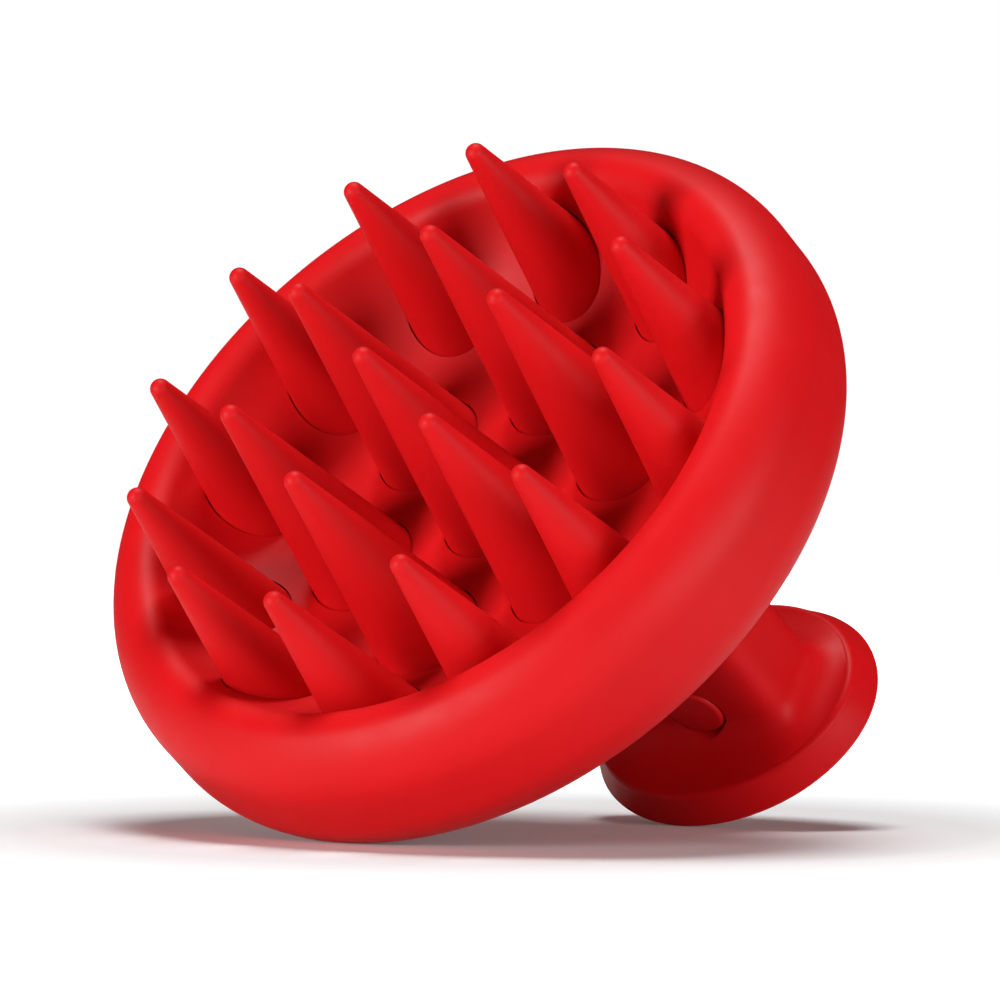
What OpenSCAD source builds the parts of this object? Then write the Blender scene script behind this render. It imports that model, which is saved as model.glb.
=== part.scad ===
// Handheld vibrating scalp massager: a soft cup of cone-shaped fingers on a
// shallow dome, with an oval grip behind it. Z runs up through the cup, and
// the object stands on the flat end of its grip at Z = 0.

/* [Cup] */
// Outer diameter of the soft cup
cup_d = 84; // [80:1:96]
// Radius of the rounded outer edge of the rim
rim_r = 7.5; // [6:0.1:8]
// Radius of the rounded inner edge of the rim
lip_r = 3; // [2.4:0.1:3.4]
// Radius of the rounded lower edge of the cup
heel_r = 7.15; // [6:0.05:7.5]
// Distance of the middle of the lip's rounding from the cup's outer edge
lip_inset = 5.2; // [4.6:0.1:6]
// Depth of the cup, from the crest of the rim to the floor
cup_depth = 12.6; // [11.8:0.1:13.2]
// Radius of the bowl's side, from the floor to the lip
bowl_r = 20; // [15:0.5:22]
// Thickness of the cup's floor
floor_t = 2.5; // [2:0.1:3]
// Thickness of the lip that is clamped under the plate
clamp_lip_t = 1; // [0.8:0.1:1.2]
// Width of that lip
clamp_lip_w = 5.2; // [4:0.1:5.4]

/* [Fingers] */
// Distance of the outer ring of fingers from the cup's outer edge
ring_inset = 12.8; // [12:0.1:14]
// Distance between the two rings of fingers
ring_step = 13.2; // [12.9:0.1:14]
// Turn of the outer ring of fingers
outer_turn = -1; // [-2:0.5:2]
// Turn of the inner ring of fingers
inner_turn = 23; // [20:1:40]
// Height of the outer fingers' tips above the rim
outer_reach = 11.8; // [6:0.1:14]
// Extra height of the inner fingers' tips
inner_rise = 2.7; // [0:0.1:4]
// Radius of a finger's round tip
tip_r = 1.1; // [0.8:0.05:1.4]
// Distance between the feet of neighbouring outer fingers
foot_step = 3.3; // [3:0.1:5]
// Radius of the stub that holds a finger in the plate
stub_r = 2.8; // [2:0.1:3.5]
// Gap between a finger's foot and the edge of its hole in the cup
foot_gap = 0.15; // [0.1:0.05:0.25]

/* [Plate] */
// Thickness of the plate that carries the fingers
plate_t = 2; // [1.6:0.1:2.4]
// Distance of the plate screws from the outer ring of fingers
screw_step = 6.6; // [6.2:0.1:7.2]
// Radius of a plate screw's head
plate_head_r = 2.1; // [1.8:0.1:2.3]
// Radius of a plate screw's shank
plate_shank_r = 1; // [0.8:0.05:1.2]
// Length of a plate screw
plate_screw_l = 6; // [5:0.1:6.5]

/* [Back] */
// Depth of the dome behind the cup
dome_depth = 10; // [9.5:0.1:12]
// Wall of the dome
dome_t = 1.8; // [1.5:0.1:2]
// Radius of a screw boss
boss_r = 3; // [2.5:0.1:3.4]
// Width of the ring that carries the plate
seat_w = 1.6; // [1.2:0.1:2]

/* [Grip] */
// Height of the grip and dome, from the end face to the cup
grip_h = 32.2; // [30:0.1:40]
// Distance of the grip's middle from the cup's axis
grip_x = 8.8; // [6:0.1:9.5]
// Length of the grip's oval flange
flange_l = 34.8; // [33:0.1:40]
// Width of the grip's oval flange
flange_w = 28.4; // [26:0.1:32]
// Thickness of the flange at its edge
flange_t = 3.8; // [3.4:0.1:5]
// How much the flange narrows towards the neck
flange_draft = 1.3; // [0.4:0.1:1.6]
// Rounding of the flange's edges
flange_edge = 0.8; // [0.4:0.1:1]
// Length of the neck's section
neck_l = 22.6; // [22:0.1:25]
// Width of the neck's section
neck_w = 11; // [10.8:0.1:13]
// Height at which the flange has blended into the neck
blend_z = 7.4; // [6.5:0.1:9]
// How far the neck spreads where it meets the dome
flare = 4; // [2:0.1:5]
// Height of that spread
flare_h = 6; // [4:0.1:7]
// Wall of the neck on its broad sides
neck_wall = 1.6; // [1.4:0.1:1.7]
// Wall of the neck at its narrow ends
neck_end_wall = 2.2; // [2:0.1:2.6]
// Corner radius of the hollow inside the neck
hollow_r = 2.5; // [1:0.1:3]
// Squareness of the neck's section: 2 is an ellipse, more has tighter corners
neck_power = 4; // [3:0.5:4]

/* [End cover] */
// Length of the end cover
cover_l = 25.6; // [25:0.1:28]
// Width of the end cover
cover_w = 15; // [13:0.1:18]
// Thickness of the end cover
cover_t = 1.5; // [1.3:0.1:1.7]
// How far the cover lies inside the end face
cover_inset = 0.2; // [0.1:0.05:0.4]
// Gap round the cover
cover_gap = 0.15; // [0.1:0.05:0.3]
// Thickness of the cover's flat seal
cover_seal_t = 0.5; // [0.4:0.1:0.8]
// Width of the cover's flat seal
cover_seal_w = 1.2; // [1:0.1:1.4]
// Distance of a cover screw from the end of the cover
cover_screw_inset = 2.4; // [2.2:0.1:2.6]
// Length of a cover screw
cover_screw_l = 4.5; // [4:0.1:5]
// Radius of a cover screw's head
cover_head_r = 1.3; // [1.1:0.1:1.4]
// Radius of a cover screw's shank
cover_shank_r = 0.6; // [0.5:0.05:0.7]

/* [Button] */
// Radius of the push button
button_r = 3.3; // [2.8:0.05:3.4]
// Height of the button's middle above the end face
button_z = 9; // [8.9:0.1:11]
// Place of the button along the neck, from its middle
button_x = 1.6; // [-2:0.1:2]
// Gap round the button
button_gap = 0.25; // [0.15:0.05:0.3]
// How far the button stands out of the neck
button_proud = 0.5; // [0.3:0.1:0.8]
// Travel of the button
button_travel = 0.6; // [0.4:0.05:0.6]
// Thickness of the collar that keeps the button in
collar_t = 0.7; // [0.6:0.05:0.8]
// Width of that collar
collar_w = 0.7; // [0.5:0.1:0.8]

/* [Electronics] */
// Width of the control board
board_w = 17.4; // [15:0.1:17.6]
// Height of the control board
board_h = 19; // [17:0.5:20]
// Thickness of the control board
board_t = 0.8; // [0.6:0.1:1]
// Height of the switch body above the board
switch_h = 0.9; // [0.8:0.05:1]
// Width of the switch body
switch_w = 5; // [4:0.1:6]
// Radius of the switch plunger
plunger_r = 1; // [0.8:0.05:1.2]
// Thickness of the battery cell
cell_t = 3.5; // [3:0.1:3.6]
// Width of the battery cell
cell_w = 15.6; // [13:0.1:16]
// Height of the battery cell
cell_h = 20; // [17:0.5:21]
// Radius of a charging pin
pin_r = 1; // [0.8:0.1:1.2]
// Distance of a charging pin from the middle of the cover
pin_x = 2.6; // [2.4:0.1:3]
// Radius of a charging magnet
magnet_r = 1.4; // [1.2:0.1:1.5]
// Distance of a magnet from the middle of the cover
magnet_x = 6.3; // [6:0.1:6.6]
// Radius of a lead
lead_r = 0.4; // [0.3:0.05:0.5]

/* [Motor] */
// Radius of the motor's can
can_r = 3.2; // [2.8:0.1:3.3]
// Length of the motor's can
can_l = 11; // [9:0.1:11.5]
// Wall of the motor's can
can_t = 0.35; // [0.25:0.05:0.4]
// Distance of the motor's axis from the cup's axis
motor_x = 9; // [8.8:0.1:9.4]
// Place of the can's shaft end, along the shaft
can_front_y = 2.2; // [1:0.1:2.4]
// Radius of the motor's shaft
shaft_r = 0.5; // [0.4:0.05:0.6]
// Running clearance of the shaft in its bushes
shaft_fit = 0.03; // [0.02:0.01:0.06]
// Radius of the eccentric weight
weight_r = 2.9; // [2.4:0.1:3]
// Length of the eccentric weight
weight_l = 4.2; // [3:0.1:4.5]
// Thickness of the strap that holds the motor
strap_t = 0.8; // [0.6:0.1:0.9]
// Width of the strap
strap_w = 5; // [4:0.1:5.4]

/* [Hidden] */
// Counts
outer_count = 12;
inner_count = 6;
boss_count = 4;
boss_turn = 45;
// Heights
cup_h = clamp_lip_t + plate_t + floor_t + cup_depth;
crest_z = grip_h + cup_h;
floor_z = crest_z - cup_depth;
plate_top_z = floor_z - floor_t;
plate_z = plate_top_z - plate_t;
outer_tip_z = crest_z + outer_reach;
inner_tip_z = outer_tip_z + inner_rise;
// Radii
cup_r = cup_d / 2;
lip_ring_r = cup_r - lip_inset;
outer_ring_r = cup_r - ring_inset;
// A finger's taper, from its axis to its side, follows from its foot's radius
outer_foot_r = outer_ring_r * sin(180 / outer_count) - foot_step / 2;
tip_mid_h = outer_tip_z - tip_r - plate_top_z;
taper = acos(tip_r / norm([outer_foot_r, tip_mid_h]))
  - atan2(tip_mid_h, outer_foot_r);
inner_ring_r = outer_ring_r - ring_step;
screw_ring_r = outer_ring_r - screw_step;
plate_edge = 0.2;
plate_r = outer_ring_r + outer_foot_r + foot_gap + plate_edge;
dome_step = 0.35;
dome_edge_r = cup_r - heel_r - dome_step;
dome_r = (dome_edge_r ^ 2 + dome_depth ^ 2) / (2 * dome_depth);
dome_centre_z = grip_h + dome_r - dome_depth;
lip_inner_r = plate_r - clamp_lip_w;
seat_r = lip_inner_r - plate_edge;
// Centres of the lip's, the rim's and the bowl's roundings, as [radius, height]
lip_rise = sqrt((rim_r - lip_r) ^ 2 - (rim_r - lip_inset) ^ 2);
lip_mid = [lip_ring_r, crest_z - lip_r];
rim_mid = [cup_r - rim_r, lip_mid.y - lip_rise];
bowl_z = floor_z + bowl_r;
flat_r = lip_ring_r - sqrt((bowl_r + lip_r) ^ 2 - (bowl_z - lip_mid.y) ^ 2);
// Where the lip's rounding runs into the rim's
rim_touch = lip_mid + (lip_mid - rim_mid) * lip_r / (rim_r - lip_r);
// Grip
neck_a = neck_l / 2;
neck_b = neck_w / 2;
hollow_l = neck_l - 2 * neck_end_wall;
hollow_w = neck_w - 2 * neck_wall;
hollow_z = cover_inset + cover_t + cover_seal_t;
cover_screw_x = cover_l / 2 - cover_screw_inset;
split_z = dome_centre_z - sqrt(dome_r ^ 2 - grip_x ^ 2);
// Layers inside the neck, from the button's side to the back
cell_gap = 0.2;
wall_y = -hollow_w / 2;
collar_slack = 0.1;
collar_y = wall_y + collar_slack;
plunger_y = collar_y + collar_t;
over_travel = 0.3;
switch_y = plunger_y + button_travel + over_travel;
board_y = switch_y + switch_h;
cell_y = board_y + board_t + cell_gap;
pad_t = hollow_w / 2 - cell_y - cell_t;
board_lift = 3.6;
board_z = hollow_z + board_lift;
cell_z = board_z;
// Motor
motor_gap = 0.3;
motor_z = plate_z - can_r - motor_gap;
front_bush_l = 1;
shaft_out = 6.4;
weight_y = can_front_y + 1.5;
foot_x = can_r + strap_t + 1.6;
strap_y = -2.5;
fine = 96;
small = 32;
section_points = 56;

// ---- Shared shapes ----

// Places its children at even steps round the cup's axis.
module ring_of(count, radius, turn = 0) {
  for (i = [0 : count - 1])
    rotate([0, 0, turn + i * 360 / count])
      translate([radius, 0, 0]) children();
}

// A flat oval with straight sides and round ends.
module stadium(length, width) {
  translate([-(length - width) / 2, -width / 2])
    square([length - width, width]);
  for (side = [-1, 1])
    translate([side * (length - width) / 2, 0])
      circle(d = width, $fn = fine);
}

// A flat rectangle with round corners.
module round_rectangle(length, width, radius) {
  translate([-length / 2 + radius, -width / 2])
    square([length - 2 * radius, width]);
  translate([-length / 2, -width / 2 + radius])
    square([length, width - 2 * radius]);
  for (x = [-1, 1], y = [-1, 1])
    translate([x * (length / 2 - radius), y * (width / 2 - radius)])
      circle(r = radius, $fn = small);
}

// A bar along Y, from y0 to y1.
module rod_y(radius, y0, y1, sides = small) {
  translate([0, y0, 0])
    rotate([-90, 0, 0]) cylinder(r = radius, h = y1 - y0, $fn = sides);
}

// A lead that runs straight from point to point.
module lead(points) {
  for (i = [0 : len(points) - 2]) {
    step = points[i + 1] - points[i];
    reach = norm(step);
    translate(points[i])
      rotate([0, acos(step.z / reach), atan2(step.y, step.x)])
        cylinder(r = lead_r, h = reach, $fn = 16);
    if (i > 0)
      translate(points[i]) sphere(r = lead_r, $fn = 16);
  }
}

// One point of a section between an ellipse (power 2) and a rectangle.
function section_point(angle, a, b, power) = [
  a * sign(cos(angle)) * abs(cos(angle)) ^ (2 / power),
  b * sign(sin(angle)) * abs(sin(angle)) ^ (2 / power)
];

// A solid through a list of sections, each [height, a, b, power].
module loft(sections) {
  n = section_points;
  last = len(sections) - 1;
  points = [
    for (s = sections, i = [0 : n - 1])
      let (p = section_point(i * 360 / n, s[1], s[2], s[3]))
      [p.x, p.y, s[0]]
  ];
  sides = [
    for (k = [0 : last - 1], i = [0 : n - 1])
      let (j = (i + 1) % n, low = k * n, high = low + n)
      each [[low + j, low + i, high + i], [low + j, high + i, high + j]]
  ];
  base = [for (i = [0 : n - 1]) i];
  top = [for (i = [n - 1 : -1 : 0]) last * n + i];
  polyhedron(points, concat([base], sides, [top]));
}

// ---- Cup, fingers and plate ----

// Radius of a finger's foot, where it stands on the plate.
function foot_r(tip_z) =
  tip_r * cos(taper)
  + (tip_z - tip_r * (1 - sin(taper)) - plate_top_z) * tan(taper);

// The cone of one finger, with its round tip.
module finger_cone(tip_z) {
  cone_top_z = tip_z - tip_r * (1 - sin(taper));
  rotate_extrude($fn = small) {
    polygon([
      [0, plate_top_z],
      [foot_r(tip_z), plate_top_z],
      [tip_r * cos(taper), cone_top_z],
      [0, cone_top_z]
    ]);
    intersection() {
      translate([0, tip_z - tip_r]) circle(r = tip_r, $fn = small);
      translate([0, cone_top_z]) square([tip_r, tip_r]);
    }
  }
}

// The places of the inner fingers: one in the middle and a ring round it.
module inner_places() {
  children();
  ring_of(inner_count, inner_ring_r, inner_turn) children();
}

module outer_places() {
  ring_of(outer_count, outer_ring_r, outer_turn) children();
}

module finger_cones() {
  inner_places() finger_cone(inner_tip_z);
  outer_places() finger_cone(outer_tip_z);
}

module finger_stubs(past = 0) {
  inner_places() stub(past);
  outer_places() stub(past);
}

// The stub under a finger; as a hole it goes past both sides of the plate.
module stub(past = 0) {
  translate([0, 0, plate_z - past])
    cylinder(r = stub_r, h = plate_t + 2 * past, $fn = small);
}

// Half of the cup's outline, before it is hollowed.
module cup_outline() {
  translate([0, grip_h]) square([rim_mid.x, rim_mid.y + rim_r - grip_h]);
  translate([0, grip_h + heel_r])
    square([cup_r, rim_mid.y - grip_h - heel_r]);
  translate(rim_mid) circle(r = rim_r, $fn = fine);
  translate([cup_r - heel_r, grip_h + heel_r])
    circle(r = heel_r, $fn = fine);
}

// Half of the hollow in the cup: its flat floor, its rounded side and the lip.
module bowl_outline() {
  top_z = crest_z + rim_r;
  translate([-1, floor_z]) square([flat_r + 1, top_z - floor_z]);
  intersection() {
    translate([flat_r, bowl_z]) circle(r = bowl_r, $fn = fine);
    translate([flat_r - 1, floor_z]) square([bowl_r + 1, bowl_r]);
  }
  difference() {
    polygon([
      [flat_r, bowl_z], lip_mid, rim_touch, [rim_touch.x, top_z],
      [flat_r, top_z]
    ]);
    translate(lip_mid) circle(r = lip_r, $fn = fine);
  }
}

// The hole in the cup for one finger's foot, open into the plate's recess.
module finger_hole(tip_z) {
  wide = foot_r(tip_z) + foot_gap;
  narrow = tip_r + foot_gap;
  high_z = plate_top_z + (wide - narrow) / tan(taper);
  rotate_extrude($fn = small)
    polygon([
      [0, plate_top_z - 1], [wide, plate_top_z - 1], [wide, plate_top_z],
      [narrow, high_z], [0, high_z]
    ]);
}

// The soft cup: a fat round rim, a bowl, and a hole for every finger.
module silicone_cup() {
  color("red")
    difference() {
      rotate_extrude($fn = fine)
        difference() {
          cup_outline();
          bowl_outline();
          translate([-1, plate_z]) square([plate_r + 1, plate_t]);
          translate([-1, grip_h - 1])
            square([lip_inner_r + 1, clamp_lip_t + 2]);
        }
      inner_places() finger_hole(inner_tip_z);
      outer_places() finger_hole(outer_tip_z);
    }
}

// The soft cone-shaped fingers, each with a stub that plugs into the plate.
module silicone_fingers() {
  color("red") {
    finger_cones();
    finger_stubs();
  }
}

// The stiff disc under the cup's floor.
module finger_plate() {
  color("white")
    difference() {
      translate([0, 0, plate_z])
        cylinder(r = plate_r, h = plate_t, $fn = fine);
      finger_stubs(1);
      plate_screws_shape();
      bracket_screws_shape();
    }
}

module plate_screws_shape() {
  head_h = plate_head_r - plate_shank_r;
  ring_of(boss_count, screw_ring_r, boss_turn) {
    translate([0, 0, plate_top_z - plate_screw_l])
      cylinder(r = plate_shank_r, h = plate_screw_l, $fn = small);
    translate([0, 0, plate_top_z - head_h])
      cylinder(r1 = plate_shank_r, r2 = plate_head_r, h = head_h, $fn = small);
  }
}

// Four countersunk screws that hold the plate to the dome.
module plate_screws() {
  slot_w = 0.6;
  slot_d = 0.5;
  color("silver")
    difference() {
      plate_screws_shape();
      ring_of(boss_count, screw_ring_r, boss_turn)
        translate([-plate_head_r, -slot_w / 2, plate_top_z - slot_d])
          cube([2 * plate_head_r, slot_w, slot_d + 1]);
    }
}

// ---- Back and grip ----

// The ball that the dome's outside is cut from.
module dome_ball(inset = 0) {
  translate([0, 0, dome_centre_z]) sphere(r = dome_r - inset, $fn = 180);
}

// The hollow that runs through the grip into the dome.
module grip_hollow() {
  translate([grip_x, 0, -1])
    linear_extrude(grip_h)
      round_rectangle(hollow_l, hollow_w, hollow_r);
}

// The shallow dome behind the cup, with a ring and bosses for the plate.
module back_shell() {
  low_z = grip_h - dome_depth - 1;
  color("red")
    difference() {
      intersection() {
        dome_ball();
        union() {
          difference() {
            translate([0, 0, low_z])
              cylinder(r = dome_edge_r, h = grip_h - low_z, $fn = fine);
            dome_ball(dome_t);
          }
          difference() {
            translate([0, 0, low_z])
              cylinder(r = seat_r, h = plate_z - low_z, $fn = fine);
            translate([0, 0, low_z - 1])
              cylinder(r = seat_r - seat_w, h = plate_z, $fn = fine);
          }
          ring_of(boss_count, screw_ring_r, boss_turn)
            translate([0, 0, low_z])
              cylinder(r = boss_r, h = plate_z - low_z, $fn = small);
        }
      }
      plate_screws_shape();
      grip_hollow();
    }
}

function mix(a, b, share) = a + (b - a) * share;

// One level of the grip, between the flange (share 0) and the neck (share 1).
function grip_level(z, inset, share) = [
  z,
  mix(flange_l / 2 - inset, neck_a, share),
  mix(flange_w / 2 - inset, neck_b, share),
  mix(2, neck_power, share)
];

top_inset = flange_draft + flange_edge;
flare_z = split_z - flare_h;
flare_reach = grip_x + neck_a + flare;
flare_sunk = 0.2;
flare_top_z = dome_centre_z - sqrt(dome_r ^ 2 - flare_reach ^ 2) + flare_sunk;

// Levels from the end face, round the flange, up the neck and into the dome.
grip_levels = [
  for (t = [0 : 30 : 90])
    grip_level(flange_edge * (1 - cos(t)), flange_edge * (1 - sin(t)), 0),
  for (t = [0 : 30 : 90])
    grip_level(
      flange_t - flange_edge * (1 - sin(t)),
      flange_draft + flange_edge * (1 - cos(t)), 0
    ),
  for (t = [7.5 : 7.5 : 90])
    grip_level(mix(flange_t, blend_z, 1 - cos(t)), top_inset, sin(t)),
  for (t = [0 : 15 : 90])
    [
      mix(flare_z, flare_top_z, sin(t)),
      neck_a + flare * (1 - cos(t)),
      neck_b + flare * (1 - cos(t)),
      neck_power
    ]
];

// Neck and oval flange, moulded as one hollow shell.
module handle_shell() {
  color("red")
    difference() {
      translate([grip_x, 0, 0]) loft(grip_levels);
      dome_ball();
      grip_hollow();
      translate([grip_x, 0, -1])
        linear_extrude(hollow_z + 1)
          stadium(cover_l + 2 * cover_gap, cover_w + 2 * cover_gap);
      cover_screw_shanks();
      at_button() rod_y(button_r + button_gap, -flange_w, wall_y + 1, fine);
    }
}

module cover_screw_shanks() {
  for (side = [-1, 1])
    translate([grip_x + side * cover_screw_x, 0, cover_inset])
      cylinder(r = cover_shank_r, h = cover_screw_l, $fn = small);
}

module cover_screw_heads() {
  head_h = cover_head_r - cover_shank_r;
  for (side = [-1, 1])
    translate([grip_x + side * cover_screw_x, 0, cover_inset])
      cylinder(r1 = cover_head_r, r2 = cover_shank_r, h = head_h, $fn = small);
}

// The oval plate that closes the grip's end.
module end_cover() {
  color("firebrick")
    difference() {
      translate([grip_x, 0, cover_inset])
        linear_extrude(cover_t) stadium(cover_l, cover_w);
      cover_screw_shanks();
      cover_screw_heads();
      charge_pins_shape();
      charge_magnets_shape();
    }
}

// The flat seal between the end cover and the grip.
module end_seal() {
  color("black")
    translate([grip_x, 0, cover_inset + cover_t])
      linear_extrude(cover_seal_t)
        difference() {
          stadium(cover_l, cover_w);
          stadium(cover_l - 2 * cover_seal_w, cover_w - 2 * cover_seal_w);
        }
}

// Two countersunk screws with a straight slot.
module end_screws() {
  slot_w = 0.4;
  slot_d = 0.35;
  color("silver")
    difference() {
      union() {
        cover_screw_shanks();
        cover_screw_heads();
      }
      for (side = [-1, 1])
        translate([
          grip_x + side * cover_screw_x - cover_head_r, -slot_w / 2,
          cover_inset - 1
        ])
          cube([2 * cover_head_r, slot_w, slot_d + 1]);
    }
}

// ---- Push button ----

ring_section = 0.35;
groove_y = wall_y - 0.75;
button_face_y = -neck_b - button_proud;
cap_edge = 0.4;

module at_button() {
  translate([grip_x + button_x, 0, button_z]) children();
}

// Radius of the path that the button's seal ring follows.
ring_path_r = button_r + button_gap - 0.05 - ring_section;

// The cap with its collar, and a groove for the seal ring.
module power_button() {
  color("darkred")
    at_button()
      difference() {
        union() {
          rod_y(button_r, button_face_y + cap_edge, collar_y, fine);
          rod_y(button_r - cap_edge, button_face_y, collar_y, fine);
          translate([0, button_face_y + cap_edge, 0])
            rotate([-90, 0, 0])
              rotate_extrude($fn = fine)
                translate([button_r - cap_edge, 0])
                  circle(r = cap_edge, $fn = small);
          rod_y(button_r + collar_w, collar_y, plunger_y, fine);
        }
        translate([0, groove_y - ring_section, 0])
          rotate([-90, 0, 0])
            difference() {
              cylinder(r = button_r + 1, h = 2 * ring_section, $fn = fine);
              translate([0, 0, -1])
                cylinder(r = ring_path_r - ring_section, h = 3, $fn = fine);
            }
      }
}

// The ring that keeps water out round the button.
module button_seal() {
  color("black")
    at_button()
      translate([0, groove_y, 0])
        rotate([-90, 0, 0])
          rotate_extrude($fn = fine)
            translate([ring_path_r, 0]) circle(r = ring_section, $fn = small);
}

// The stem of the switch, which the button pushes.
module switch_plunger() {
  color("black")
    at_button() rod_y(plunger_r, plunger_y, switch_y + 0.15);
}

// The body of the switch, with a bore that the stem runs in.
module switch_body() {
  color("dimgray")
    at_button()
      difference() {
        translate([-switch_w / 2, switch_y, -switch_w / 2])
          cube([switch_w, switch_h, switch_w]);
        rod_y(plunger_r + 0.05, switch_y - 1, board_y - 0.1);
      }
}

// ---- Board, cell and charging contacts ----

// The circuit board, which stands upright in the neck.
module control_board() {
  color("seagreen")
    translate([grip_x - board_w / 2, board_y, board_z])
      cube([board_w, board_t, board_h]);
}

// What is soldered to the board: the motor's driver, its coil, a plug
// socket for the motor's leads and a row of small parts.
module board_parts() {
  driver = [4, 1, 4];
  coil = [3, 1.4, 3];
  socket = [5, 1.6, 3];
  chip = [1, 0.6, 1.6];
  chip_step = 2.4;
  margin = 1;
  high_z = board_z + board_h - socket.z - coil.z - 2 * margin;
  left_x = grip_x - board_w / 2 + margin;
  color("black") {
    translate([left_x + margin, board_y - driver.y, high_z]) cube(driver);
    translate([grip_x + board_w / 2 - coil.x - 2 * margin, board_y - coil.y, high_z])
      cube(coil);
    translate([
      grip_x - socket.x / 2, board_y - socket.y, board_z + board_h - socket.z
    ])
      cube(socket);
    for (i = [0 : 3])
      translate([left_x, board_y - chip.y, board_z + margin + i * chip_step])
        cube(chip);
  }
}

// The flat rechargeable cell behind the board.
module battery_cell() {
  edge = 1;
  color("lightgray")
    translate([grip_x, cell_y, cell_z + cell_h / 2])
      rotate([-90, 0, 0])
        linear_extrude(cell_t) round_rectangle(cell_w, cell_h, edge);
}

// The foam that presses the cell against the board.
module battery_pad() {
  inset = 3;
  color("gray")
    translate([grip_x - cell_w / 2 + inset, cell_y + cell_t, cell_z + inset])
      cube([cell_w - 2 * inset, pad_t, cell_h - 2 * inset]);
}

// The cell's two leads, over the top of the board.
module battery_leads() {
  top_z = cell_z + cell_h;
  over_z = max(top_z, board_z + board_h) + 1;
  solder_y = board_y + board_t / 2;
  for (side = [-1, 1])
    color(side > 0 ? "red" : "black")
      lead([
        [grip_x + side * 4, cell_y + cell_t / 2, top_z],
        [grip_x + side * 4, cell_y + cell_t / 2, over_z],
        [grip_x + side * 4, solder_y, over_z],
        [grip_x + side * 4, solder_y, board_z + board_h]
      ]);
}

pin_top_z = hollow_z + 2.6;
holder_h = 2;

module charge_pins_shape() {
  for (side = [-1, 1])
    translate([grip_x + side * pin_x, 0, cover_inset])
      cylinder(r = pin_r, h = pin_top_z - cover_inset, $fn = small);
}

// Two round contacts, flush with the end cover.
module charge_pins() {
  color("gold") charge_pins_shape();
}

// The block that holds the contacts, on the inside of the cover.
module pin_holder() {
  wall = 1;
  color("black")
    difference() {
      translate([grip_x, 0, cover_inset + cover_t])
        linear_extrude(holder_h)
          round_rectangle(
            2 * (pin_x + pin_r + wall), 2 * (pin_r + wall), wall
          );
      charge_pins_shape();
    }
}

module charge_magnets_shape() {
  sunk = 0.7;
  magnet_h = 1.6;
  for (side = [-1, 1])
    translate([grip_x + side * magnet_x, 0, cover_inset + cover_t - sunk])
      cylinder(r = magnet_r, h = magnet_h, $fn = small);
}

// Two magnets that draw the charging plug onto the contacts.
module charge_magnets() {
  color("silver") charge_magnets_shape();
}

// Leads from the contacts to the lower edge of the board.
module charge_leads() {
  solder_y = max(board_y + board_t / 2, lead_r - pin_r);
  color("gray")
    for (side = [-1, 1])
      lead([
        [grip_x + side * pin_x, solder_y, pin_top_z],
        [grip_x + side * pin_x, solder_y, board_z]
      ]);
}

// ---- Motor ----

module at_motor() {
  translate([-motor_x, 0, motor_z]) children();
}

can_back_y = can_front_y - can_l;
bush_r = 1.1;
cap_t = 1;
magnet_t = 0.6;
air_gap = 0.25;
magnet_y = can_back_y + cap_t + 1.2;
magnet_l = can_l - cap_t - can_t - 2;
armature_r = can_r - can_t - magnet_t - air_gap;

// The drawn steel can, open at the back.
module motor_can() {
  color("silver")
    at_motor()
      difference() {
        rod_y(can_r, can_back_y, can_front_y);
        rod_y(can_r - can_t, can_back_y - 1, can_front_y - can_t);
        rod_y(bush_r, can_back_y, can_front_y + 1);
      }
}

// Two curved magnets inside the can.
module motor_magnets() {
  slot = 1.6;
  color("dimgray")
    at_motor()
      difference() {
        rod_y(can_r - can_t, magnet_y, magnet_y + magnet_l);
        rod_y(can_r - can_t - magnet_t, magnet_y - 1, magnet_y + magnet_l + 1);
        translate([-can_r, magnet_y - 1, -slot / 2])
          cube([2 * can_r, magnet_l + 2, slot]);
      }
}

// A bush in the front of the can and one in the end cap.
module motor_bushes() {
  color("goldenrod")
    at_motor() {
      bush(can_front_y - front_bush_l);
      bush(can_back_y);
    }
}

module bush(y) {
  difference() {
    rod_y(bush_r, y, y + front_bush_l);
    rod_y(shaft_r + shaft_fit, y - 1, y + front_bush_l + 1);
  }
}

// The moulded cap that closes the back of the can.
module motor_end_cap() {
  color("black")
    at_motor()
      difference() {
        rod_y(can_r - can_t, can_back_y, can_back_y + cap_t);
        rod_y(bush_r, can_back_y - 1, can_back_y + cap_t + 1);
      }
}

// The shaft that carries the armature and the weight.
module motor_shaft() {
  color("silver")
    at_motor() rod_y(shaft_r, can_back_y + 0.1, can_front_y + shaft_out);
}

// Three wound poles and the commutator behind them.
module motor_armature() {
  slot_w = 0.6;
  collar = 0.5;
  core_y = magnet_y + collar;
  core_l = magnet_l - 2 * collar;
  color("peru")
    at_motor()
      difference() {
        union() {
          rod_y(armature_r, core_y, core_y + core_l);
          rod_y(shaft_r + 0.5, core_y - 1, core_y);
        }
        rod_y(shaft_r, core_y - 2, core_y + core_l + 1);
        for (turn = [0, 120, 240])
          rotate([0, turn, 0])
            translate([shaft_r + 0.5, core_y - 0.01, -slot_w / 2])
              cube([armature_r, core_l + 1, slot_w]);
      }
}

// The half-round weight that makes the massager vibrate.
module eccentric_weight() {
  hub_r = shaft_r + 0.6;
  color("gray")
    at_motor()
      difference() {
        union() {
          intersection() {
            rod_y(weight_r, weight_y, weight_y + weight_l);
            translate([-weight_r, weight_y, -weight_r])
              cube([2 * weight_r, weight_l, weight_r]);
          }
          rod_y(hub_r, weight_y, weight_y + weight_l);
        }
        rod_y(shaft_r, weight_y - 1, weight_y + weight_l + 1);
      }
}

foot_t = 1.2;
foot_l = 3.2;
bracket_head_r = 1.3;
bracket_shank_r = 0.7;
bracket_head_h = 0.8;

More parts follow.
